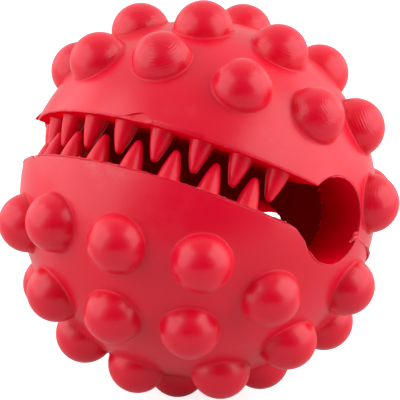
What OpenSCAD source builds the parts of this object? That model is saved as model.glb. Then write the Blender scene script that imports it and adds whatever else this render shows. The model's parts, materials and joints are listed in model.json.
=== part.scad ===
// Treat dispensing ball: a hollow rubber ball with a toothed mouth, two treat holes at the
// corners of the mouth and a skin of round knobs. It is shown lying on three of its knobs.
// The ball is drawn about its own centre, with its axis up and its mouth towards -Y, and
// rest_on_knobs() then lays it on the ground.

/* [Ball] */
// Radius of the smooth skin, without the knobs
ball_r = 37; // [36.5:0.5:42]
// Thickness of the rubber wall
wall_t = 9.6; // [8.6:0.1:11]

/* [Mouth] */
// Height of the upper lip above the ball's middle
upper_lip_h = 4.6; // [4.2:0.1:5.4]
// Depth of the lower lip below the ball's middle
lower_lip_h = 5; // [4.4:0.1:5.6]

/* [Treat holes] */
// Radius of the hole at the near corner of the mouth
hole_r = 8.8; // [8:0.1:9.2]
// Radius of the hole at the far corner, of which only a sliver of daylight shows
far_hole_r = 8.3; // [8:0.1:8.8]
// Angle from the rear of the ball to the axis of each hole
hole_turn = 51.5; // [50:0.5:56]

/* [Hinge strip] */
// Height of the strip that bends between the two holes
strip_h = 3; // [2:0.2:3]

/* [Teeth] */
// Number of teeth on the upper lip
upper_teeth = 15; // [7:2:15]
// Number of teeth on the lower lip
lower_teeth = 15; // [7:2:15]
// Angle between neighbouring teeth of one lip
tooth_pitch = 14.4; // [13:0.1:14.6]
// Radius of a tooth at the lip
tooth_r = 2.45; // [2:0.05:2.5]
// Radius of the rounded tip
tooth_tip_r = 0.85; // [0.6:0.05:1]
// Radius of the slight bulge along a tooth's side
tooth_side_r = 26; // [18:1:60]
// Depth of the row of teeth under the ball's skin, measured to their centre lines
tooth_inset = 4.6; // [4.2:0.1:5.2]
// Gap between the tips of the upper teeth and the lower lip
upper_tip_gap = 3.3; // [2.4:0.1:4]
// Gap between the tips of the lower teeth and the upper lip
lower_tip_gap = 2.8; // [2.4:0.1:4]

/* [Knobs] */
// Radius of a knob
knob_r = 6.1; // [5:0.1:6.1]
// Depth of a knob's centre under the ball's skin
knob_sink = 0.55; // [0.2:0.05:1]
// Radius of the soft corner where a knob meets the skin
knob_blend_r = 0.8; // [0.4:0.1:0.8]

/* [Hidden] */
// Each knob's place is [turn from +X, height], both in degrees.
// Row over the upper lip
upper_lip_knob_places = [
    [-99.5, 29], [-69.5, 28], [-39.5, 31], [-8.5, 30], [20.5, 29],
    [-129, 30], [-158, 29], [176, 30], [150, 26.5]
];
// Row above it
upper_shoulder_knob_places = [
    [-81.5, 50], [-37.5, 54.5], [6.5, 54], [67.5, 64],
    [115, 60], [160, 54], [-162, 54], [-122, 53]
];
// Knob beside the upper pole
upper_crown_knob_places = [[-72, 86]];
// Knobs behind the treat holes, on the upper half
upper_rear_knob_places = [[51.5, 36.5], [60, 13], [93.5, 22], [120, 13], [125, 38.5]];
// Row under the lower lip
lower_lip_knob_places = [
    [-88, -28.5], [-62.5, -28.5], [-33, -30.5], [-1.5, -29], [28.5, -30.5],
    [-114.5, -24.5], [-146, -23], [-177, -26], [152, -24]
];
// Knobs behind the treat holes, on the lower half
lower_rear_knob_places = [[64.5, -14.5], [86, -25], [59.5, -40], [120, -16]];
// Row below the lip row
lower_belly_knob_places = [
    [102, -47], [64.5, -64], [7.5, -53], [-35.5, -57], [-82.5, -52.5],
    [-127, -43.5], [-160, -52]
];
// Knobs beside the lower pole
lower_base_knob_places = [[-114, -67], [-165, -86.5]];
// The three knobs that the ball lies on
resting_knob_places = [[140, -66.5], [129.5, -40], [163, -47]];
upper_knob_places = concat(
    upper_lip_knob_places, upper_shoulder_knob_places,
    upper_crown_knob_places, upper_rear_knob_places
);
lower_knob_places = concat(
    lower_lip_knob_places, lower_rear_knob_places, lower_belly_knob_places,
    lower_base_knob_places, resting_knob_places
);
// Turn of the lying ball about the vertical, which brings its mouth to the front
mouth_heading = -82.5;
// The mouth's middle in the ball's own frame
mouth_turn = -90;
// Share of the teeth's pitch by which the upper row is turned one way and the lower row the other
row_offset = 0.25;

// Smoothness of round forms
$fn = 96;
// Smoothness of the wide arcs along the teeth
arc_fn = 720;
// How far a cut runs past the surface that it opens
overrun = 1;
// How far a sector of wall runs into the hole that cuts its end off
overrun_turn = 2;

cavity_r = ball_r - wall_t;
tooth_ring_r = ball_r - tooth_inset;
slot_h = upper_lip_h + lower_lip_h;
upper_tooth_l = slot_h - upper_tip_gap;
lower_tooth_l = slot_h - lower_tip_gap;

// Where two circles meet, to the right of the line from a to b
function meet(a, a_r, b, b_r) =
    let (
        d = norm(b - a),
        along = (d * d + a_r * a_r - b_r * b_r) / (2 * d),
        u = (b - a) / d
    )
    a + u * along + [u[1], -u[0]] * sqrt(a_r * a_r - along * along);
function unit(v) = v / norm(v);
function outward(place) = [
    cos(place[1]) * cos(place[0]), cos(place[1]) * sin(place[0]), sin(place[1])
];

// A knob's outline: [distance from its own axis, distance from the ball's centre]
knob_centre = [0, ball_r - knob_sink];
blend_centre = meet([0, 0], ball_r + knob_blend_r, knob_centre, knob_r + knob_blend_r);
knob_foot = blend_centre * ball_r / (ball_r + knob_blend_r);
knob_side = knob_centre + unit(blend_centre - knob_centre) * knob_r;

// The ground touches the three resting knobs
resting_points = [for (p = resting_knob_places) outward(p)];
down = unit(cross(resting_points[2] - resting_points[0], resting_points[1] - resting_points[0]));
up = down[2] > 0 ? down : -down;
rest_h = knob_centre[1] * abs(resting_points[0] * up) + knob_r;

function numbered(name, i) = str(name, i < 10 ? "0" : "", i);

module rest_on_knobs() {
    translate([0, 0, rest_h])
        rotate([0, 0, mouth_heading])
            rotate(a = acos(up[2]), v = cross(up, [0, 0, 1]))
                children();
}

module facing(place) {
    rotate([0, 90 - place[1], place[0]]) children();
}

// The round holes at the corners of the mouth, drilled towards the ball's centre
module treat_holes() {
    for (side = [-1, 1])
        facing([-mouth_turn + side * hole_turn, 0])
            cylinder(h = ball_r + overrun, r = side < 0 ? hole_r : far_hole_r);
}

// Turn from a hole's axis to its edge on the skin, at a height above the ball's middle
function hole_edge_turn(h) = asin(sqrt(hole_r * hole_r - h * h) / ball_r);

// One jaw of the hollow ball, from its lip to its pole, drawn as the upper one
module jaw(lip_h) {
    difference() {
        sphere(ball_r);
        sphere(cavity_r);
        translate([-ball_r - overrun, -ball_r - overrun, -ball_r - overrun])
            cube([2 * (ball_r + overrun), 2 * (ball_r + overrun), ball_r + overrun + lip_h]);
        treat_holes();
    }
}

// The wall behind the mouth, from hole to hole round the rear, between two heights
module rear_wall(low_h, high_h) {
    half_turn = hole_turn - hole_edge_turn(max(abs(low_h), abs(high_h))) + overrun_turn;
    difference() {
        rotate([0, 0, -mouth_turn - half_turn])
            rotate_extrude(angle = 2 * half_turn)
                intersection() {
                    difference() {
                        circle(ball_r);
                        circle(cavity_r);
                    }
                    translate([0, low_h]) square([ball_r + overrun, high_h - low_h]);
                }
        treat_holes();
    }
}

module upper_shell() {
    color([0.86, 0.08, 0.18]) jaw(upper_lip_h);
}

module lower_shell() {
    color([0.86, 0.08, 0.18]) mirror([0, 0, 1]) jaw(lower_lip_h);
}

// The thick wall that carries the upper jaw on the bending strip
module upper_hinge_root() {
    color([0.8, 0.06, 0.16]) rear_wall(strip_h / 2, upper_lip_h);
}

module lower_hinge_root() {
    color([0.8, 0.06, 0.16]) rear_wall(-lower_lip_h, -strip_h / 2);
}

// The strip of wall between the two holes, which bends when the mouth opens
module hinge_strip() {
    color([0.74, 0.05, 0.14]) rear_wall(-strip_h / 2, strip_h / 2);
}

// A round tooth that stands on z = 0, with slightly bulging sides and a rounded tip
module tooth(tooth_l) {
    tip_centre = [0, tooth_l - tooth_tip_r];
    side_centre = -meet(
        -tip_centre, tooth_side_r - tooth_tip_r, [-tooth_r, 0], tooth_side_r
    );
    rotate_extrude()
        union() {
            intersection() {
                translate(side_centre) circle(tooth_side_r, $fn = arc_fn);
                square([tooth_r, tip_centre[1]]);
            }
            intersection() {
                translate(tip_centre) circle(tooth_tip_r);
                translate([0, tip_centre[1] - tooth_tip_r]) square(2 * tooth_tip_r);
            }
        }
}

module upper_tooth(i) {
    color([0.9, 0.12, 0.22])
        rotate([0, 0, mouth_turn + tooth_pitch * (i - (upper_teeth + 1) / 2 + row_offset)])
            translate([tooth_ring_r, 0, upper_lip_h])
                mirror([0, 0, 1])
                    tooth(upper_tooth_l);
}

module lower_tooth(i) {
    color([0.9, 0.12, 0.22])
        rotate([0, 0, mouth_turn + tooth_pitch * (i - (lower_teeth + 1) / 2 - row_offset)])
            translate([tooth_ring_r, 0, -lower_lip_h])
                tooth(lower_tooth_l);
}

// A knob with its soft corner, hollowed below to sit on the ball's skin
module knob() {
    rotate_extrude()
        difference() {
            union() {
                polygon([[0, 0], knob_foot, blend_centre, knob_side, knob_centre]);
                intersection() {
                    translate(knob_centre) circle(knob_r);
                    translate([0, knob_centre[1]]) square(2 * knob_r);
                }
            }
            translate(blend_centre) circle(knob_blend_r);
            circle(ball_r);
        }
}

module knobs(places) {
    color([0.88, 0.1, 0.2])
        for (p = places)
            facing(p) knob();
}

rest_on_knobs() upper_shell();
rest_on_knobs() lower_shell();
rest_on_knobs() upper_hinge_root();
rest_on_knobs() lower_hinge_root();
rest_on_knobs() hinge_strip();
for (i = [1:upper_teeth])
    rest_on_knobs() upper_tooth(i);
for (i = [1:lower_teeth])
    rest_on_knobs() lower_tooth(i);
rest_on_knobs() knobs(upper_lip_knob_places);  // upper_lip_knobs
rest_on_knobs() knobs(upper_shoulder_knob_places);  // upper_shoulder_knobs
rest_on_knobs() knobs(upper_crown_knob_places);  // upper_crown_knob
rest_on_knobs() knobs(upper_rear_knob_places);  // upper_rear_knobs
rest_on_knobs() knobs(lower_lip_knob_places);  // lower_lip_knobs
rest_on_knobs() knobs(lower_rear_knob_places);  // lower_rear_knobs
rest_on_knobs() knobs(lower_belly_knob_places);  // lower_belly_knobs
rest_on_knobs() knobs(lower_base_knob_places);  // lower_base_knobs
rest_on_knobs() knobs(resting_knob_places);  // resting_knobs
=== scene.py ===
"""Dressed model of a treat dispensing ball: a hollow ball of red rubber that lies on three of
its knobs, with its toothed mouth turned to the camera."""

import json
import math
import random

import bpy
import numpy as np
from mathutils import Matrix, Vector, noise

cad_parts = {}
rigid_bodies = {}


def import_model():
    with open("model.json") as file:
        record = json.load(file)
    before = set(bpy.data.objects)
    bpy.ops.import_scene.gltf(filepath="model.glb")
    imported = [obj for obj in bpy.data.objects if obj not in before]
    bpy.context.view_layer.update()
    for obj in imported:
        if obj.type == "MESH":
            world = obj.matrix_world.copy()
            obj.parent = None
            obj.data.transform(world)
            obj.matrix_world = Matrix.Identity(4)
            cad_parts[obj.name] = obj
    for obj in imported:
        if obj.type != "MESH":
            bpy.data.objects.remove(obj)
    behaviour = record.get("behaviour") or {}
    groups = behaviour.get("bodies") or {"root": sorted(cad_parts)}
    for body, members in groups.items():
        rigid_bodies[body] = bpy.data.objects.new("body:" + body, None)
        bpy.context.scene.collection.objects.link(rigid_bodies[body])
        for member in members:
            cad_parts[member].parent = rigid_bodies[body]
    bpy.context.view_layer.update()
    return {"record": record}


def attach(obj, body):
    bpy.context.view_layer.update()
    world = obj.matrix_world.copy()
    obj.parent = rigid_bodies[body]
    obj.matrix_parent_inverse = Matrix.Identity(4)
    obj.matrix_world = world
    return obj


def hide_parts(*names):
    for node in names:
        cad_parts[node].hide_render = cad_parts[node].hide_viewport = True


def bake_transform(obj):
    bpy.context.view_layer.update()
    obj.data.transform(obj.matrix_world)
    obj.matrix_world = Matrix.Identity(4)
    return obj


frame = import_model()
RECORD = frame["record"]
MM = 0.001
BODY_UP = "upper_half"
BODY_LOW = "lower_half"

# Sizes of the ball, in millimetres and degrees, the same as in the part's source
BALL_R = 37.0
WALL = 9.6
CAVITY_R = BALL_R - WALL
UPPER_LIP_H = 4.6
LOWER_LIP_H = 5.0
SLOT_H = UPPER_LIP_H + LOWER_LIP_H
HOLE_R = 8.8
FAR_HOLE_R = 8.3
HOLE_TURN = 51.5
STRIP_H = 3.0
TOOTH_INSET = 4.6
TOOTH_RING_R = BALL_R - TOOTH_INSET
TOOTH_R = 2.45
TOOTH_TIP_R = 0.85
TOOTH_SIDE_R = 26.0
TOOTH_PITCH = 14.4
TEETH_IN_ROW = 15
ROW_OFFSET = 0.25
UPPER_TIP_GAP = 3.3
LOWER_TIP_GAP = 2.8
UPPER_TOOTH_L = SLOT_H - UPPER_TIP_GAP
LOWER_TOOTH_L = SLOT_H - LOWER_TIP_GAP
KNOB_R = 6.1
KNOB_SINK = 0.55
KNOB_CENTRE = BALL_R - KNOB_SINK
MOUTH_TURN = -90.0
REAR_TURN = 90.0
NEAR_HOLE = REAR_TURN - HOLE_TURN
FAR_HOLE = REAR_TURN + HOLE_TURN

# Soft corners that the solids leave out, and the foot of a knob, a little tighter than theirs
KNOB_BLEND_R = 0.45
LIP_EDGE_R = 0.3
INNER_EDGE_R = 0.3
HOLE_EDGE_R = 0.35
TOOTH_FOOT_R = 0.12

# Places of the knobs: [turn from the ball's +X, height], in degrees, those in front set a little closer
# to the photograph than the solids are
KNOB_PLACES = {
    "upper_lip_knobs": [
        (-99.5, 29), (-69, 28), (-39.2, 31), (-7.5, 28.8), (22.1, 29.6),
        (-129, 30), (-158, 29), (176, 30), (150, 26.5),
    ],
    "upper_shoulder_knobs": [
        (-81.5, 50), (-37.5, 54.5), (6.5, 54), (67.5, 64),
        (115, 60), (160, 54), (-162, 54), (-122, 53),
    ],
    "upper_crown_knob": [(-72, 86)],
    "upper_rear_knobs": [(51.5, 36.5), (60, 13), (93.5, 22), (120, 13), (125, 38.5)],
    "lower_lip_knobs": [
        (-86.2, -28.5), (-61.5, -28.5), (-32.3, -31.2), (-1.2, -28.8), (28.6, -30.5),
        (-114.5, -24.5), (-146, -23), (-177, -26), (152, -24),
    ],
    "lower_rear_knobs": [(64.5, -14.5), (86, -25), (59.5, -40), (120, -16)],
    "lower_belly_knobs": [
        (102, -47), (64.5, -64), (8.2, -53), (-35, -57.3), (-81.5, -52.5),
        (-127, -43.5), (-160, -52),
    ],
    "lower_base_knobs": [(-114.2, -68.1), (-165, -86.5)],
    "resting_knobs": [(140, -66.5), (129.5, -40), (163, -47)],
}


def mount(name):
    """Place and outward direction of a mount of the record."""
    found = [m for m in RECORD["mounts"] if m["name"] == name][0]
    return Vector(found["pos_m"]), Vector(found["axis"]).normalized()


def ball_to_row():
    """The ball's own frame in millimetres, worked out from its two treat holes, to the row frame."""
    near_at, near_axis = mount("near_treat_hole")
    far_at, far_axis = mount("far_treat_hole")
    apart = near_at - far_at
    shared = near_axis.dot(far_axis)
    reach = (apart.dot(near_axis) - shared * apart.dot(far_axis)) / (1 - shared ** 2)
    centre = near_at - near_axis * reach
    x_axis = (near_axis - far_axis).normalized()
    y_axis = (near_axis + far_axis).normalized()
    z_axis = x_axis.cross(y_axis)
    turn = Matrix((x_axis, y_axis, z_axis)).transposed().to_4x4()
    return Matrix.Translation(centre) @ turn @ Matrix.Scale(MM, 4)


TO_ROW = ball_to_row()
CENTRE = TO_ROW.translation.copy()


def facing(turn, height=0.0):
    """Turns +Z to point outwards at a place on the ball."""
    return Matrix.Rotation(math.radians(turn), 4, "Z") @ Matrix.Rotation(math.radians(90 - height), 4, "Y")


def outward(turn, height=0.0):
    """Direction from the ball's centre to a place on it."""
    t, h = math.radians(turn), math.radians(height)
    return Vector((math.cos(h) * math.cos(t), math.cos(h) * math.sin(t), math.sin(h)))


# Modelling helpers

# Points closer than this, in millimetres, are made one
MERGE_WITHIN = 0.0005
# Edges sharper than these stay crisp, in degrees
SKIN_CREASE = 32
KNOB_CREASE = 60
TOOTH_CREASE = 50
BEAD_CREASE = 60


def deselect():
    """Nothing is selected, so the next operator touches only what is made next."""
    for o in bpy.context.view_layer.objects:
        o.select_set(False)


def pick(obj):
    """obj alone is selected and active."""
    deselect()
    obj.select_set(True)
    bpy.context.view_layer.objects.active = obj


def edit(obj):
    """Opens obj in edit mode with everything selected."""
    pick(obj)
    bpy.ops.object.mode_set(mode="EDIT")
    bpy.ops.mesh.select_mode(type="VERT")
    bpy.ops.mesh.select_all(action="SELECT")


def done():
    """Leaves edit mode."""
    bpy.ops.object.mode_set(mode="OBJECT")


def arc(centre, radius, start, end, steps):
    """Points on an arc in a plane, from one angle to the other, in degrees."""
    angles = [math.radians(start + (end - start) * i / steps) for i in range(steps + 1)]
    return [(centre[0] + radius * math.cos(a), centre[1] + radius * math.sin(a)) for a in angles]


def outline(name, points, closed):
    """A mesh of one outline in the XZ plane, from (distance, height) points."""
    mesh = bpy.data.meshes.new(name)
    edges = [(i, i + 1) for i in range(len(points) - 1)]
    if closed:
        edges.append((len(points) - 1, 0))
    mesh.from_pydata([(p[0], 0, p[1]) for p in points], edges, [])
    obj = bpy.data.objects.new(name, mesh)
    bpy.context.scene.collection.objects.link(obj)
    return obj


def spun(name, points, steps, start=0.0, turn=360.0, closed=False):
    """A solid turned from an outline about Z. A part turn needs a closed outline and gets flat ends."""
    obj = outline(name, points, closed)
    move(obj, Matrix.Rotation(math.radians(start), 4, "Z"))
    edit(obj)
    bpy.ops.mesh.spin(
        steps=steps, angle=-math.radians(turn), center=(0, 0, 0), axis=(0, 0, 1), dupli=False
    )
    bpy.ops.mesh.select_all(action="SELECT")
    bpy.ops.mesh.remove_doubles(threshold=MERGE_WITHIN)
    bpy.ops.mesh.select_all(action="DESELECT")
    bpy.ops.mesh.select_non_manifold()
    bpy.ops.mesh.fill_holes(sides=0)
    bpy.ops.mesh.select_all(action="SELECT")
    bpy.ops.mesh.normals_make_consistent(inside=False)
    done()
    return obj


def solid(name, points, faces):
    """A closed solid from its points and faces, with its faces turned outwards."""
    mesh = bpy.data.meshes.new(name)
    mesh.from_pydata(points, [], faces)
    obj = bpy.data.objects.new(name, mesh)
    bpy.context.scene.collection.objects.link(obj)
    edit(obj)
    bpy.ops.mesh.normals_make_consistent(inside=False)
    done()
    return obj


def move(obj, matrix):
    """Moves the mesh itself, and keeps the object at the origin."""
    obj.data.transform(matrix)
    obj.data.update()
    return obj


def joined(name, objects):
    """Several objects made into one."""
    deselect()
    for o in objects:
        o.select_set(True)
    bpy.context.view_layer.objects.active = objects[0]
    if len(objects) > 1:
        bpy.ops.object.join()
    result = bpy.context.view_layer.objects.active
    result.name = name
    result.data.name = name
    return result


def cut(obj, tool):
    """Takes the tool's shape out of obj."""
    pick(obj)
    step = obj.modifiers.new("cut", "BOOLEAN")
    step.operation = "DIFFERENCE"
    step.solver = "EXACT"
    step.object = tool
    bpy.ops.object.modifier_apply(modifier="cut")
    return obj


def drop(*objects):
    """Deletes tools that have done their work."""
    for o in objects:
        bpy.data.objects.remove(o)


def smooth(obj, crease):
    """Smooth shading, with edges sharper than crease kept."""
    pick(obj)
    bpy.ops.object.shade_smooth_by_angle(angle=math.radians(crease))
    return obj


def finish_piece(obj, body, material, nodes=()):
    """Puts a piece that was made in the ball's frame into the row frame, and gives it its finish."""
    move(obj, TO_ROW)
    obj.data.materials.clear()
    obj.data.materials.append(material)
    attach(obj, body)
    if nodes:
        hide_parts(*nodes)
    return obj


# Materials

# Sockets of a Mix node that mixes colours
MIX_FACTOR = 0
MIX_FIRST = 6
MIX_SECOND = 7
MIX_RESULT = 2


class Sock:
    """A node's output with Python operators, each of which adds one node."""

    def __init__(self, graph, socket):
        self.graph = graph
        self.socket = socket

    def maths(self, operation, other=None, clamp=False):
        values = [self] if other is None else [self, other]
        return self.graph.node(
            "ShaderNodeMath", {"operation": operation, "use_clamp": clamp}, dict(enumerate(values))
        )

    def __add__(self, other):
        return self.maths("ADD", other)

    __radd__ = __add__

    def __mul__(self, other):
        return self.maths("MULTIPLY", other)

    __rmul__ = __mul__

    def clamped(self):
        return self.maths("ADD", 0.0, clamp=True)

    def or_more(self, other):
        return self.maths("MAXIMUM", other)

    def sine(self):
        return self.maths("SINE")


class Graph:
    """The nodes of one material, or of the world."""

    def __init__(self, owner):
        self.owner = owner
        owner.use_nodes = True
        self.tree = owner.node_tree
        self.tree.nodes.clear()

    def node(self, kind, settings=None, inputs=None, output=0):
        made = self.tree.nodes.new(kind)
        for key, value in (settings or {}).items():
            setattr(made, key, value)
        for key, value in (inputs or {}).items():
            if isinstance(value, Sock):
                self.tree.links.new(value.socket, made.inputs[key])
            else:
                made.inputs[key].default_value = value
        return Sock(self, made.outputs[output]) if made.outputs else made

    def attribute(self, name):
        return self.node("ShaderNodeAttribute", {"attribute_name": name}, output="Fac")

    def noise(self, where, scale, detail, rough):
        return self.node(
            "ShaderNodeTexNoise", None,
            {"Vector": where, "Scale": scale, "Detail": detail, "Roughness": rough},
        )

    def ramp(self, value, low, high):
        """0 below low and 1 above high, with soft ends."""
        return self.node("ShaderNodeMapRange", {"interpolation_type": "SMOOTHSTEP"}, {
            "Value": value, "From Min": low, "From Max": high, "To Min": 0.0, "To Max": 1.0,
        })

    def blend(self, factor, first, second):
        sockets = {MIX_FACTOR: factor, MIX_FIRST: first, MIX_SECOND: second}
        return self.node("ShaderNodeMix", {"data_type": "RGBA"}, sockets, output=MIX_RESULT)


def rgb(r, g, b):
    """A colour written as it shows on the screen, from 0 to 255, as the shader's linear value."""
    def linear(v):
        v /= 255
        return v / 12.92 if v <= 0.04045 else ((v + 0.055) / 1.055) ** 2.4
    return (linear(r), linear(g), linear(b), 1.0)


RUBBER_DEEP = rgb(221, 0, 40)
RUBBER_RED = rgb(231, 0, 44)
RUBBER_WALL = rgb(244, 0, 36)
# Deep in the cavity the rubber is painted darker: painted shade of the hollow, not a colour of the rubber.
RUBBER_CAVITY_PAINTED_SHADE = rgb(190, 0, 6)
RUBBER_BLOOM = rgb(240, 120, 128)

# Unevenness of the rubber: [waves to a metre, detail, roughness of the noise]
MOTTLING = (38.0, 3.0, 0.55)
SPECKLES = (420.0, 3.0, 0.6)
GRAIN = (2600.0, 2.0, 0.55)
# Height of the relief in metres, how much of it shows, and the shares of those three in it
RELIEF = 0.0004
RELIEF_SHOWN = 0.55
MOTTLING_RELIEF = 0.25
SPECKLE_RELIEF = 0.15
GRAIN_RELIEF = 0.06
# Noise levels between which the deep red turns to the red
RED_BETWEEN = (0.3, 0.7)
# Bloom and dust: how strong they are, the noise levels between which they settle, and the shares of the
# mottling, speckles and grain in that noise
BLOOM = 0.05
BLOOM_BETWEEN = (0.52, 0.8)
BLOOM_MOTTLING = 0.65
BLOOM_SPECKLES = 0.35
DUST = 0.35
DUST_BETWEEN = (0.38, 0.66)
DUST_SPECKLES = 0.5
DUST_GRAIN = 0.5
# Roughness of clean rubber, and what mottling, speckles, its inside, a scuff and a knob's foot add to it
ROUGHNESS = 0.24
MOTTLING_DULLER = 0.08
SPECKLES_DULLER = 0.05
INSIDE_DULLER = 0.3
SCUFF_DULLER = 0.12
FOOT_DULLER = 0.25
# Shine and haze, and how far the haze spreads
SKIN_SHINE = 0.42
TOOTH_SHINE = 0.3
SKIN_HAZE = 0.1
HAZE_SPREAD = 0.25
# Tool marks on a knob: how fast their wave runs with the angle from its axis, how mottling bends it, how
# high it is, and the noise levels between which a mark breaks off
TOOL_MARKS = 62.0
TOOL_MARKS_WANDER = 6.0
TOOL_MARKS_RELIEF = 0.19
TOOL_MARKS_BETWEEN = (0.4, 0.62)
# Angles from a knob's axis, in radians, between which its side turns into its spread foot
KNOB_SIDE_END = 1.45
KNOB_FOOT = 1.5


def red_rubber(name, knob=False, inside=False, shine=SKIN_SHINE, haze=SKIN_HAZE):
    """Moulded natural rubber: dull, with a faint pale bloom, fine mottling and the mould's tool marks. On
    the inside, painted shade deepens the colour into the cavity.
    """
    g = Graph(bpy.data.materials.new(name))
    where = g.node("ShaderNodeTexCoord", output="Object")
    broad = g.noise(where, *MOTTLING)
    fine = g.noise(where, *SPECKLES)
    grain = g.noise(where, *GRAIN)
    colour = g.blend(g.ramp(broad, *RED_BETWEEN), RUBBER_DEEP, RUBBER_RED)
    height = broad * MOTTLING_RELIEF + fine * SPECKLE_RELIEF + grain * GRAIN_RELIEF
    rough = ROUGHNESS + broad * MOTTLING_DULLER + fine * SPECKLES_DULLER
    if inside:
        # Painted shade: the inner rubber turns from the wall red to a dark red with depth into the cavity.
        colour = g.blend(g.attribute("depth"), RUBBER_WALL, RUBBER_CAVITY_PAINTED_SHADE)
        rough = rough + INSIDE_DULLER
    else:
        scuffed = g.attribute("scuff")
        bloom = g.ramp(broad * BLOOM_MOTTLING + fine * BLOOM_SPECKLES, *BLOOM_BETWEEN) * BLOOM
        dust = scuffed * g.ramp(fine * DUST_SPECKLES + grain * DUST_GRAIN, *DUST_BETWEEN) * DUST
        colour = g.blend((bloom + dust).clamped(), colour, RUBBER_BLOOM)
        rough = rough + scuffed * SCUFF_DULLER
    if knob:
        ring = g.attribute("polar")
        lines = (ring * TOOL_MARKS + broad * TOOL_MARKS_WANDER).sine() * 0.5 + 0.5
        broken = lines * g.attribute("tooling") * g.ramp(fine, *TOOL_MARKS_BETWEEN)
        height = height + broken * TOOL_MARKS_RELIEF
        rough = rough + g.ramp(ring, KNOB_SIDE_END, KNOB_FOOT) * FOOT_DULLER
    relief = {"Strength": RELIEF_SHOWN, "Distance": RELIEF, "Height": height}
    shader = g.node("ShaderNodeBsdfPrincipled", None, {
        "Base Color": colour,
        "Roughness": rough,
        "Specular IOR Level": shine,
        "Sheen Weight": haze,
        "Sheen Roughness": HAZE_SPREAD,
        "Normal": g.node("ShaderNodeBump", None, relief),
    })
    g.node("ShaderNodeOutputMaterial", None, {"Surface": shader})
    return g.owner


SKIN = red_rubber("red_rubber_skin")
# Inner rubber: duller and without shine, with painted shade that deepens into the cavity.
INSIDE = red_rubber("red_rubber_inside_painted_shade", inside=True, shine=0.0, haze=0.0)
KNOB = red_rubber("red_rubber_knobs", knob=True)
TOOTH = red_rubber("red_rubber_teeth", shine=TOOTH_SHINE, haze=0.0)


# The skin of the two jaws

# Facets of the skin, its cavity and the tools that cut them
SKIN_AROUND = 288
SKIN_ALONG = 144
CAVITY_AROUND = 144
CAVITY_ALONG = 72
MOUTH_STEPS = 288
HOLE_STEPS = 144
PARING_STEPS = 24
EDGE_STEPS = 8
INNER_EDGE_STEPS = 6
# How far a tool reaches past the rubber, in millimetres
BEYOND = 3.0
PARING_OVERRUN = 0.4
# Distance from the cavity, in millimetres, at which the painted shade on a hole's wall begins, and over
# which it deepens to full
WALL_SHADE_FROM = 4.0
WALL_SHADE_OVER = 3.5
# Shares of the bending strip at which the skin gets an edge to bend along
STRIP_EDGES = (0.34, 0.67, 1.0)

# Lengths of the upper lip that were pared: [turn, turning by, inner radius, height up the skin]
TRIMMED_EDGES = [(-137.0, 39.0, 35.0, 2.1), (-30.8, 17.0, 36.15, 0.75)]
# Outlines of what a trimming knife took off: [turn, height, depth in millimetres]
SCAR = [
    (-42.5, 7.6, 0.02), (-41.0, 7.9, 0.08), (-39.5, 8.4, 0.24), (-37.8, 9.3, 0.34), (-36.0, 9.9, 0.3),
    (-34.4, 10.1, 0.2), (-32.8, 9.4, 0.1), (-31.2, 8.3, 0.04), (-30.9, 6.2, 0.0), (-34.5, 6.2, 0.03),
    (-38.0, 6.2, 0.06), (-42.5, 6.2, 0.02),
]
MOUTH_CORNER = [
    (23.0, -7.72, 13.0), (27.2, -9.6, 13.0), (31.2, -11.35, 13.0), (33.5, -9.0, 13.0), (33.5, -5.5, 13.0),
    (23.0, -5.5, 13.0),
]
# Dusty scuffs on the skin: [turn, height, turn, height, radius in millimetres, strength]
SCUFFS = [
    (-47.0, -9.3, -36.0, -9.8, 1.7, 0.8), (-45.0, -10.8, -39.7, -14.3, 1.2, 0.5),
    (-68.0, -12.0, -60.0, -10.0, 2.2, 0.35), (-100.0, 9.5, -88.0, 11.0, 2.0, 0.5),
    (3.0, 17.0, 12.0, 13.0, 2.2, 0.4), (-28.0, 13.0, -20.0, 15.0, 1.2, 0.25),
    (-13.2, -20.8, -12.0, -20.9, 0.3, 1.0), (-20.4, -23.5, -20.4, -23.2, 0.3, 1.0),
    (-17.1, -34.1, -16.8, -34.2, 0.3, 0.9),
]


def shell_ball():
    """The hollow ball before anything is cut from it."""
    bpy.ops.mesh.primitive_uv_sphere_add(segments=SKIN_AROUND, ring_count=SKIN_ALONG, radius=BALL_R)
    outer = bpy.context.object
    bpy.ops.mesh.primitive_uv_sphere_add(
        segments=CAVITY_AROUND, ring_count=CAVITY_ALONG, radius=CAVITY_R
    )
    inner = bpy.context.object
    edit(inner)
    bpy.ops.mesh.flip_normals()
    done()
    return joined("ball", [outer, inner])


def polar_point(radius, angle):
    """A point at an angle in degrees, in the plane of an outline."""
    return (radius * math.cos(math.radians(angle)), radius * math.sin(math.radians(angle)))


def lip_line(lip_h, side):
    """Outline of one lip as the mouth's cutter meets it, from inside the ball to outside."""
    inner_z = lip_h + INNER_EDGE_R
    inner_x = math.sqrt((CAVITY_R + INNER_EDGE_R) ** 2 - inner_z ** 2)
    inner_a = math.degrees(math.atan2(inner_z, inner_x))
    outer_z = lip_h + LIP_EDGE_R
    outer_x = math.sqrt((BALL_R - LIP_EDGE_R) ** 2 - outer_z ** 2)
    outer_a = math.degrees(math.atan2(outer_z, outer_x))
    line = [polar_point(CAVITY_R - BEYOND, inner_a)]
    line += arc((inner_x, inner_z), INNER_EDGE_R, 180 + inner_a, 270, INNER_EDGE_STEPS)
    line += arc((outer_x, outer_z), LIP_EDGE_R, -90, outer_a, EDGE_STEPS)
    line.append(polar_point(BALL_R + BEYOND, outer_a))
    return [(x, side * z) for x, z in line]


def mouth_cutter():
    """The slot of the mouth with soft lips, from the axis of one treat hole round to the other."""
    top = lip_line(UPPER_LIP_H, 1)
    bottom = lip_line(LOWER_LIP_H, -1)
    turn = 360 - 2 * HOLE_TURN
    return spun("mouth_cutter", top + bottom[::-1], MOUTH_STEPS, FAR_HOLE, turn, closed=True)


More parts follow.
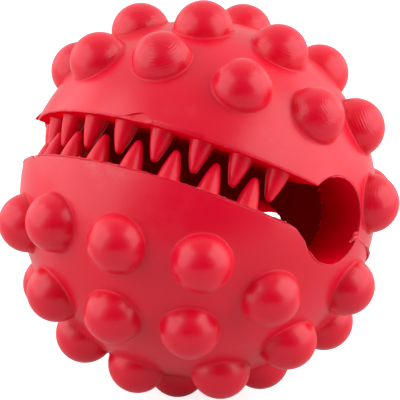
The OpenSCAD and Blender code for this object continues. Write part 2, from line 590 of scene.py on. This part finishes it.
def hole_cutter(turn, hole_r):
    """One treat hole with soft rims, from inside the ball to outside."""
    inner_r = hole_r + INNER_EDGE_R
    inner_z = math.sqrt((CAVITY_R + INNER_EDGE_R) ** 2 - inner_r ** 2)
    inner_a = math.degrees(math.atan2(inner_z, inner_r))
    outer_r = hole_r + HOLE_EDGE_R
    outer_z = math.sqrt((BALL_R - HOLE_EDGE_R) ** 2 - outer_r ** 2)
    outer_a = math.degrees(math.atan2(outer_z, outer_r))
    points = [(0, CAVITY_R - 3 * BEYOND), polar_point(CAVITY_R - BEYOND, inner_a)]
    points += arc((inner_r, inner_z), INNER_EDGE_R, 180 + inner_a, 180, INNER_EDGE_STEPS)
    points += arc((outer_r, outer_z), HOLE_EDGE_R, 180, outer_a, EDGE_STEPS)
    points += [polar_point(BALL_R + BEYOND, outer_a), (0, BALL_R + 2 * BEYOND)]
    tool = spun("hole_cutter", points, HOLE_STEPS)
    return move(tool, facing(turn))


def trimmed_edge(start, turn, inner, height):
    """Tool for a length of the upper lip whose outer corner was pared away at a slant."""
    low = UPPER_LIP_H - PARING_OVERRUN
    high = UPPER_LIP_H + height
    skin = math.sqrt(BALL_R ** 2 - high ** 2)
    points = [(inner, low), (BALL_R + BEYOND, low), (BALL_R + BEYOND, high), (skin, high)]
    return spun("trimmed_edge", points, PARING_STEPS, start, turn, closed=True)


def knife_cutter(name, places):
    """Tool for a piece of the skin that a trimming knife took off."""
    around = [outward(t, h) * (BALL_R - depth) for t, h, depth in places]
    above = [outward(t, h) * (BALL_R + BEYOND) for t, h, depth in places]
    n = len(places)
    points = around + above + [sum(around, Vector()) / n, sum(above, Vector()) / n]
    faces = []
    for i in range(n):
        j = (i + 1) % n
        faces += [(i, j, 2 * n), (n + j, n + i, 2 * n + 1), (j, i, n + i, n + j)]
    return solid(name, points, faces)


def tag(obj, name, values):
    """Stores one number for each point of a mesh, for its material."""
    attribute = obj.data.attributes.new(name, "FLOAT", "POINT")
    attribute.data.foreach_set("value", np.array(values, dtype=np.float32))


def scuffed(at):
    """How dusty a point of the skin is, from 0 to 1."""
    level = 0.0
    for turn_a, height_a, turn_b, height_b, radius, strength in SCUFFS:
        start, end = outward(turn_a, height_a) * BALL_R, outward(turn_b, height_b) * BALL_R
        share = max(0.0, min(1.0, (at - start).dot(end - start) / (end - start).length_squared))
        gap = (at - start.lerp(end, share)).length
        level = max(level, strength * math.exp(-(gap / radius) ** 2))
    return level


def is_inside(at):
    """Whether a face belongs to the cavity, the mouth's own faces or the walls of the treat holes."""
    if at.length < CAVITY_R + 2 * INNER_EDGE_R:
        return True
    if at.length > BALL_R - 1.5 * LIP_EDGE_R:
        return False
    if -LOWER_LIP_H - LIP_EDGE_R < at.z < UPPER_LIP_H + LIP_EDGE_R:
        return True
    for turn, hole_r in ((NEAR_HOLE, HOLE_R), (FAR_HOLE, FAR_HOLE_R)):
        axis = outward(turn)
        if at.dot(axis) > 0 and (at - axis * at.dot(axis)).length < hole_r + LIP_EDGE_R:
            return True
    return False


def finish_skin(skin):
    """Gives the inner faces the duller inner rubber with painted shade deeper in, and marks depth and scuffs
    for the materials.
    """
    mesh = skin.data
    mesh.materials.clear()
    mesh.materials.append(SKIN)
    mesh.materials.append(INSIDE)
    for face in mesh.polygons:
        face.material_index = 1 if is_inside(face.center) else 0
    # The depth mark drives painted shade: 0 towards the outer skin, 1 in the cavity.
    shade_from = CAVITY_R + WALL_SHADE_FROM
    depth = [max(0.0, min(1.0, (shade_from - v.co.length) / WALL_SHADE_OVER)) for v in mesh.vertices]
    tag(skin, "depth", depth)
    tag(skin, "scuff", [scuffed(v.co) for v in mesh.vertices])


def half(whole, name, keep_up):
    """One side of the mould's parting plane, closed along it."""
    obj = whole.copy()
    obj.data = whole.data.copy()
    bpy.context.scene.collection.objects.link(obj)
    obj.name = name
    edit(obj)
    bpy.ops.mesh.bisect(
        plane_co=(0, 0, 0), plane_no=(0, 0, 1), use_fill=True, clear_inner=keep_up, clear_outer=not keep_up
    )
    for share in STRIP_EDGES:
        bpy.ops.mesh.select_all(action="SELECT")
        level = share * STRIP_H / 2 * (1 if keep_up else -1)
        bpy.ops.mesh.bisect(plane_co=(0, 0, level), plane_no=(0, 0, 1))
    done()
    return obj


def make_skins():
    """The two jaws, each one piece with its half of the wall that bends behind the mouth."""
    ball = shell_ball()
    near = hole_cutter(NEAR_HOLE, HOLE_R)
    far = hole_cutter(FAR_HOLE, FAR_HOLE_R)
    tools = [mouth_cutter(), near, far, knife_cutter("scar", SCAR), knife_cutter("corner", MOUTH_CORNER)]
    tools += [trimmed_edge(*length) for length in TRIMMED_EDGES]
    for tool in tools:
        cut(ball, tool)
    drop(*tools)
    upper = half(ball, "upper_jaw_skin", True)
    lower = half(ball, "lower_jaw_skin", False)
    drop(ball)
    for skin, nodes in (
        (upper, ["upper_shell", "upper_hinge_root", "hinge_strip"]),
        (lower, ["lower_shell", "lower_hinge_root"]),
    ):
        smooth(skin, SKIN_CREASE)
        finish_skin(skin)
        move(skin, TO_ROW)
        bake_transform(skin)
        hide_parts(*nodes)


# Knobs

KNOB_AROUND = 64
KNOB_STEPS = 26
FOOT_STEPS = 8
# The foot's edge is sunk to this share of its distance from the ball's centre
FOOT_SUNK = 0.985
KNOB_SEED = 7
# Strengths of the tool marks on the upper knobs, and on the lower ones, which are worn
FRESH_MARKS = (0.35, 1.0)
WORN_MARKS = (0.0, 0.4)


def knob_outline():
    """Half of a knob from top to foot, as (distance from its axis, height over the ball's centre). The
    arc of its foot lies outside the ball and the knob, and touches both."""
    a, b = BALL_R + KNOB_BLEND_R, KNOB_R + KNOB_BLEND_R
    along = (a * a - b * b + KNOB_CENTRE ** 2) / (2 * KNOB_CENTRE)
    out = math.sqrt(a * a - along * along)
    side = math.degrees(math.atan2(along - KNOB_CENTRE, out))
    foot = math.degrees(math.atan2(along, out))
    points = arc((0, KNOB_CENTRE), KNOB_R, 90, side, KNOB_STEPS)
    points += arc((out, along), KNOB_BLEND_R, 180 + side, 180 + foot, FOOT_STEPS)
    points.append((points[-1][0] * FOOT_SUNK, points[-1][1] * FOOT_SUNK))
    points.append((0, points[-1][1]))
    return points


def make_knob(place, tooling):
    """One knob, with the angle from its axis kept for the tool marks."""
    knob = spun("knob", knob_outline(), KNOB_AROUND)
    polar = [math.atan2(math.hypot(v.co.x, v.co.y), v.co.z - KNOB_CENTRE) for v in knob.data.vertices]
    tag(knob, "polar", polar)
    tag(knob, "tooling", [tooling] * len(polar))
    return move(knob, facing(*place))


def make_knobs():
    """The rows of knobs, each row one piece."""
    draw = random.Random(KNOB_SEED)
    for node, places in KNOB_PLACES.items():
        body, marks = (BODY_UP, FRESH_MARKS) if node.startswith("upper") else (BODY_LOW, WORN_MARKS)
        row = [make_knob(place, draw.uniform(*marks)) for place in places]
        piece = joined(node + "_moulded", row)
        smooth(piece, KNOB_CREASE)
        finish_piece(piece, body, KNOB, [node])


# Teeth

TOOTH_AROUND = 40
TIP_STEPS = 8
SIDE_STEPS = 14
ROOT_STEPS = 5
# The foot's curve stops just short of flat, in degrees, and the root goes this deep into the lip
ROOT_END = 268
ROOT_DEPTH = 0.15
TOOTH_SEED = 11
# Most that a tooth's tip leans either way, in millimetres
LEAN = 0.15


def tooth_outline(length):
    """Half of a tooth from its tip at the top to its spread foot. The arc of its side runs through the
    edge of its root and goes smoothly into the round of its tip."""
    tip_z = length - TOOTH_TIP_R
    reach = TOOTH_SIDE_R - TOOTH_TIP_R
    dx, dz = -TOOTH_R, tip_z
    span = math.hypot(dx, dz)
    along = (span ** 2 + TOOTH_SIDE_R ** 2 - reach ** 2) / (2 * span)
    off = math.sqrt(TOOTH_SIDE_R ** 2 - along ** 2)
    ux, uz = dx / span, dz / span
    cx, cz = TOOTH_R + ux * along - uz * off, uz * along + ux * off
    top = math.degrees(math.atan2(tip_z - cz, -cx))
    drop_z = TOOTH_FOOT_R - cz
    low = math.degrees(math.atan2(drop_z, math.sqrt(TOOTH_SIDE_R ** 2 - drop_z ** 2)))
    points = arc((0, tip_z), TOOTH_TIP_R, 90, top, TIP_STEPS)
    points += arc((cx, cz), TOOTH_SIDE_R, top, low, SIDE_STEPS)[1:]
    foot_x = points[-1][0] + TOOTH_FOOT_R
    points += arc((foot_x, TOOTH_FOOT_R), TOOTH_FOOT_R, 180, ROOT_END, ROOT_STEPS)[1:]
    points += [(foot_x, -ROOT_DEPTH), (0, -ROOT_DEPTH)]
    return points


def make_tooth(name, length, turn, lip_z, up, lean):
    """One tooth of a lip, leaning a little as rubber teeth do."""
    tooth = spun(name, tooth_outline(length), TOOTH_AROUND)
    for v in tooth.data.vertices:
        share = max(0.0, v.co.z / length) ** 2
        v.co.x += lean[0] * share
        v.co.y += lean[1] * share
    if not up:
        move(tooth, Matrix.Rotation(math.pi, 4, "X"))
    place = Matrix.Rotation(math.radians(turn), 4, "Z") @ Matrix.Translation((TOOTH_RING_R, 0, lip_z))
    move(tooth, place)
    return smooth(tooth, TOOTH_CREASE)


def make_teeth():
    """Both rows of teeth."""
    draw = random.Random(TOOTH_SEED)
    rows = (
        ("upper_tooth", ROW_OFFSET, UPPER_TOOTH_L, UPPER_LIP_H, False, BODY_UP),
        ("lower_tooth", -ROW_OFFSET, LOWER_TOOTH_L, -LOWER_LIP_H, True, BODY_LOW),
    )
    for row, offset, length, lip_z, up, body in rows:
        for i in range(1, TEETH_IN_ROW + 1):
            node = f"{row}_{i:02d}"
            turn = MOUTH_TURN + TOOTH_PITCH * (i - (TEETH_IN_ROW + 1) / 2 + offset)
            lean = (draw.uniform(-LEAN, LEAN), draw.uniform(-LEAN, LEAN))
            tooth = make_tooth(node + "_moulded", length, turn, lip_z, up, lean)
            finish_piece(tooth, body, TOOTH, [node])


# Flash of the mould: thin uneven beads of rubber along edges

BEAD_SIDES = 8
# Radius that a bead always keeps, in millimetres, and how fast it grows from its ends
THINNEST = 0.02
END_GROWTH = 40
# How sharply a bead swells and a crumb stands out along the way, and what is taken off for the gaps
SWELL_CONTRAST = 1.6
SWELL_GAP = 0.3
CRUMB_CONTRAST = 4
CRUMB_GAP = 2.3

# Beads along a lip: [start, end, distance from the axis, height, points, (thin, thick, waves, seed)]
UPPER_LIP_BEADS = [
    (-98, -30.9, 36.6, 4.58, 260, (0.06, 0.2, 46, 1.5)),
    (-13.5, 26.5, 36.6, 4.6, 120, (0.04, 0.14, 30, 2.5)),
    (-150, -137, 36.5, 4.62, 60, (0.06, 0.2, 12, 3.5)),
]
LOWER_LIP_BEAD = (-150, 22.6, 36.6, -4.98, 420, (0.04, 0.18, 90, 7.5))
# Crumbs along a lip: [start, end, distance from the axis, height, points, (thick, waves, seed)]
LOWER_LIP_CRUMBS = (-60, 20, 36.7, -4.9, 420, (0.3, 60, 12.5))
# Beads on a hole's rim: [hole, its radius, distance, start, end, points, (thin, thick, waves, seed)]
UPPER_RIM_BEAD = (NEAR_HOLE, 8.82, 36.95, 95, 212, 120, (0.05, 0.16, 26, 4.5))
LOWER_RIM_BEAD = (NEAR_HOLE, 8.82, 36.95, -30, 87, 120, (0.05, 0.16, 24, 8.5))
# Crumbs on a hole's inner rim: [hole, its radius, distance, start, end, points, (thick, waves, seed)]
UPPER_INNER_CRUMBS = [
    (NEAR_HOLE, 8.75, 27.4, 95, 235, 150, (0.4, 70, 5.5)),
    (FAR_HOLE, 8.25, 27.4, 125, 265, 100, (0.3, 60, 6.5)),
]
LOWER_INNER_CRUMBS = [(NEAR_HOLE, 8.75, 27.4, -55, 88, 150, (0.45, 70, 9.5))]
# Lengths of the parting line behind: [places as turn, height, distance; points; (thin, thick, waves, seed)]
PARTING_LINE = [
    ([(53, -0.6, 36.9), (60, -0.4, 36.98), (66, -0.3, 37.15), (71, -0.8, 37.3), (76, -1.6, 37.15),
      (82, -2.2, 36.9)], 90, (0.2, 0.34, 10, 10.5)),
    ([(82, -0.5, 36.94), (127, -0.5, 36.94)], 70, (0.1, 0.2, 14, 11.5)),
]
# Whiskers of rubber, as places, points, radius at the ends and how much thicker the middle or the tip is
LIP_END_WHISKER = ([(-97.4, 10.4, 36.95), (-97.6, 8.6, 37.2), (-97.8, 7.1, 37.4)], 24, 0.08, 0.26)
LONG_BURR = ([(54.4, -0.4, 36.8), (52.4, -0.5, 36.8), (51.0, -1.6, 36.55), (50.2, -3.2, 36.4)], 20, 0.3, 0.3)
SHORT_BURR = ([(52.6, 1.2, 36.85), (51.4, 0.4, 36.6), (50.6, -0.6, 36.4)], 14, 0.2, 0.2)
# Share of its swell at which the long burr starts
BURR_START = 0.1


def bead(path, radius_at):
    """A thin bead along a path of points in the ball's frame. Its radius is worked out along the way."""
    points = []
    faces = []
    count = len(path)
    for i, at in enumerate(path):
        along = (path[min(i + 1, count - 1)] - path[max(i - 1, 0)]).normalized()
        out = (at - along * at.dot(along)).normalized()
        side = along.cross(out)
        for k in range(BEAD_SIDES):
            a = 2 * math.pi * k / BEAD_SIDES
            points.append(at + (out * math.cos(a) + side * math.sin(a)) * radius_at(i / (count - 1)))
    for i in range(count - 1):
        for k in range(BEAD_SIDES):
            m = (k + 1) % BEAD_SIDES
            low, high = i * BEAD_SIDES, (i + 1) * BEAD_SIDES
            faces.append((low + k, low + m, high + m, high + k))
    faces.append(tuple(range(BEAD_SIDES))[::-1])
    faces.append(tuple(range((count - 1) * BEAD_SIDES, count * BEAD_SIDES)))
    return smooth(solid("flash", points, faces), BEAD_CREASE)


def wander(share, waves, seed):
    """A number that drifts between 0 and 1 along a bead."""
    return 0.5 + 0.5 * noise.noise(Vector((share * waves, seed, 0)))


def uneven(thin, thick, waves, seed):
    """Radius along a bead, wandering between two values and closing to next to nothing at its ends."""
    def radius(share):
        ends = min(1.0, share * END_GROWTH, (1 - share) * END_GROWTH)
        swell = max(0.0, min(1.0, wander(share, waves, seed) * SWELL_CONTRAST - SWELL_GAP))
        return THINNEST + ends * (thin + (thick - thin) * swell)
    return radius


def crumbly(thick, waves, seed):
    """Radius along a bead that is next to nothing but for a few crumbs."""
    def radius(share):
        crumb = max(0.0, min(1.0, wander(share, waves, seed) * CRUMB_CONTRAST - CRUMB_GAP))
        return THINNEST + thick * crumb
    return radius


def lip_path(start, end, radius, height, count):
    """Points along a lip's outer corner."""
    turns = [math.radians(start + (end - start) * i / (count - 1)) for i in range(count)]
    return [Vector((radius * math.cos(t), radius * math.sin(t), height)) for t in turns]


def rim_path(turn, hole_r, ball_r, start, end, count):
    """Points along the rim of a treat hole. Its angles start from the ball's lower pole."""
    depth = math.sqrt(ball_r ** 2 - hole_r ** 2)
    angles = [math.radians(start + (end - start) * i / (count - 1)) for i in range(count)]
    return [facing(turn) @ Vector((hole_r * math.cos(a), hole_r * math.sin(a), depth)) for a in angles]


def placed_path(places, count):
    """Points through places given as [turn, height, distance from the ball's centre]."""
    knots = [outward(t, h) * r for t, h, r in places]
    path = []
    for i in range(count):
        x = i / (count - 1) * (len(knots) - 1)
        k = min(int(x), len(knots) - 2)
        path.append(knots[k].lerp(knots[k + 1], x - k))
    return path


def burr(places, count, thin, more, begin=0.0):
    """A short thick burr that swells in its middle."""
    def radius(share):
        return thin + more * math.sin(math.pi * min(1.0, share + begin))
    return bead(placed_path(places, count), radius)


def whisker(places, count, thin, more):
    """A burr that gets thicker to its tip."""
    return bead(placed_path(places, count), lambda share: thin + more * share)


def lip_bead(row, radius=uneven):
    """A bead along a lip, from its row above."""
    return bead(lip_path(*row[:-1]), radius(*row[-1]))


def rim_bead(row, radius=uneven):
    """A bead on the rim of a treat hole, from its row above."""
    return bead(rim_path(*row[:-1]), radius(*row[-1]))


def make_flash():
    """The flash that was left on the ball's edges, gathered by the half that carries it."""
    upper = [lip_bead(row) for row in UPPER_LIP_BEADS]
    upper += [whisker(*LIP_END_WHISKER), rim_bead(UPPER_RIM_BEAD)]
    upper_inner = [rim_bead(row, crumbly) for row in UPPER_INNER_CRUMBS]
    lower = [lip_bead(LOWER_LIP_BEAD), lip_bead(LOWER_LIP_CRUMBS, crumbly), rim_bead(LOWER_RIM_BEAD)]
    lower += [bead(placed_path(places, count), uneven(*wave)) for places, count, wave in PARTING_LINE]
    lower += [burr(*LONG_BURR, begin=BURR_START), burr(*SHORT_BURR)]
    lower_inner = [rim_bead(row, crumbly) for row in LOWER_INNER_CRUMBS]
    for name, parts, body, material in (
        ("upper_flash", upper, BODY_UP, SKIN), ("upper_inner_flash", upper_inner, BODY_UP, INSIDE),
        ("lower_flash", lower, BODY_LOW, SKIN), ("lower_inner_flash", lower_inner, BODY_LOW, INSIDE),
    ):
        finish_piece(joined(name, parts), body, material)


# Stage, lamps and camera

# The camera: its height in degrees, distance in metres, lens and sensor in millimetres, and aim in metres
CAMERA_HEIGHT_ANGLE = 22.9
CAMERA_DISTANCE = 0.4986
CAMERA_LENS = 216.0
SENSOR = 36.0
CLIP_START = 0.01
AIM_RIGHT = 0.000374
AIM_DOWN = 0.000312
# The floor: its side in metres, its grey, and the glow that makes it white for the camera
FLOOR_SIDE = 6.0
FLOOR_GREY = (0.6, 0.6, 0.6, 1.0)
FLOOR_GLOW = 0.8
WHITE = (1.0, 1.0, 1.0, 1.0)
# Parts of the room: [direction, where its light begins and is full, as cosines], and their strengths
COVE_BEHIND = ((0, 1, 0), 0.0, 0.6)
CEILING = ((0, 0, 1), 0.3, 0.8)
COVE_STRENGTH = 1.55
CEILING_STRENGTH = 0.3
# Soft boxes: [name, turn from the camera's side to the right, height, size in metres, power in watts]
SOFT_BOX_DISTANCE = 0.7
SOFT_BOXES = [
    ("left_low_box", -78, 10, (0.7, 0.4), 2.0),
    ("left_high_box", -78, 42, (0.7, 0.4), 2.0),
    ("right_low_box", 78, 10, (0.7, 0.4), 2.23),
    ("right_high_box", 78, 42, (0.7, 0.4), 2.5),
    ("left_rear_box", -125, 12, (0.4, 0.5), 0.72),
    ("right_rear_box", 125, 12, (0.4, 0.5), 0.67),
    ("left_front_box", -45, 30, (0.35, 0.6), 0.37),
    ("right_front_box", 45, 30, (0.35, 0.6), 0.22),
    ("top_box", 0, 75, (0.6, 0.5), 0.19),
]


def make_camera():
    """The camera at the photograph's viewing angle."""
    e = math.radians(CAMERA_HEIGHT_ANGLE)
    back = Vector((0, -math.cos(e), math.sin(e)))
    right = Vector((1, 0, 0))
    up = Vector((0, math.sin(e), math.cos(e)))
    aim = CENTRE + right * AIM_RIGHT - up * AIM_DOWN
    data = bpy.data.cameras.new("camera")
    data.lens = CAMERA_LENS
    data.sensor_width = SENSOR
    data.clip_start = CLIP_START
    camera = bpy.data.objects.new("camera", data)
    bpy.context.scene.collection.objects.link(camera)
    turn = Matrix((right, up, back)).transposed().to_4x4()
    camera.matrix_world = Matrix.Translation(aim + back * CAMERA_DISTANCE) @ turn
    bpy.context.scene.camera = camera


def soft_box(name, turn, height, size, power):
    """A soft box that faces the ball."""
    data = bpy.data.lights.new(name, "AREA")
    data.shape = "RECTANGLE"
    data.size, data.size_y = size
    data.energy = power
    obj = bpy.data.objects.new(name, data)
    bpy.context.scene.collection.objects.link(obj)
    away = outward(turn - 90, height) * SOFT_BOX_DISTANCE
    faced = away.to_track_quat("Z", "Y").to_matrix().to_4x4()
    obj.matrix_world = Matrix.Translation(CENTRE + away) @ faced


def make_floor():
    """A pale floor that keeps the ball's soft shadow and reads as the white studio ground."""
    bpy.ops.mesh.primitive_plane_add(size=FLOOR_SIDE, location=(0, 0, 0))
    floor = bpy.context.object
    floor.name = "floor"
    g = Graph(bpy.data.materials.new("pale_floor"))
    seen = g.node("ShaderNodeLightPath", output="Is Camera Ray")
    diffuse = g.node("ShaderNodeBsdfDiffuse", None, {"Color": FLOOR_GREY})
    glow = g.node("ShaderNodeEmission", None, {"Color": WHITE, "Strength": seen * FLOOR_GLOW})
    both = g.node("ShaderNodeAddShader", None, {0: diffuse, 1: glow})
    g.node("ShaderNodeOutputMaterial", None, {"Surface": both})
    floor.data.materials.append(g.owner)


def towards(g, direction, start, full):
    """0 to 1 as a ray turns towards a direction."""
    ray = g.node("ShaderNodeTexCoord", output="Generated")
    along = {0: ray, 1: direction}
    dot = g.node("ShaderNodeVectorMath", {"operation": "DOT_PRODUCT"}, along, output="Value")
    return g.node("ShaderNodeMapRange", None, {"Value": dot, "From Min": start, "From Max": full})


def make_world():
    """A white cove behind the ball, dark behind the camera, seen pure white directly and in mirrors."""
    world = bpy.data.worlds.new("white_room")
    bpy.context.scene.world = world
    g = Graph(world)
    behind = towards(g, *COVE_BEHIND)
    above = towards(g, *CEILING)
    level = behind * COVE_STRENGTH + above * CEILING_STRENGTH
    room = g.node("ShaderNodeBackground", None, {"Strength": level})
    seen = g.node("ShaderNodeBackground", None, {"Strength": 1.0})
    camera = g.node("ShaderNodeLightPath", output="Is Camera Ray")
    through = g.node("ShaderNodeLightPath", output="Is Transmission Ray")
    mirrored = g.node("ShaderNodeLightPath", output="Is Glossy Ray") * behind
    shown = camera.or_more(through).or_more(mirrored)
    mix = g.node("ShaderNodeMixShader", None, {0: shown, 1: room, 2: seen})
    g.node("ShaderNodeOutputWorld", None, {"Surface": mix})


make_camera()
make_skins()
make_knobs()
make_teeth()
make_flash()
make_floor()
make_world()
for box in SOFT_BOXES:
    soft_box(*box)
bpy.context.scene.view_settings.view_transform = "Standard"
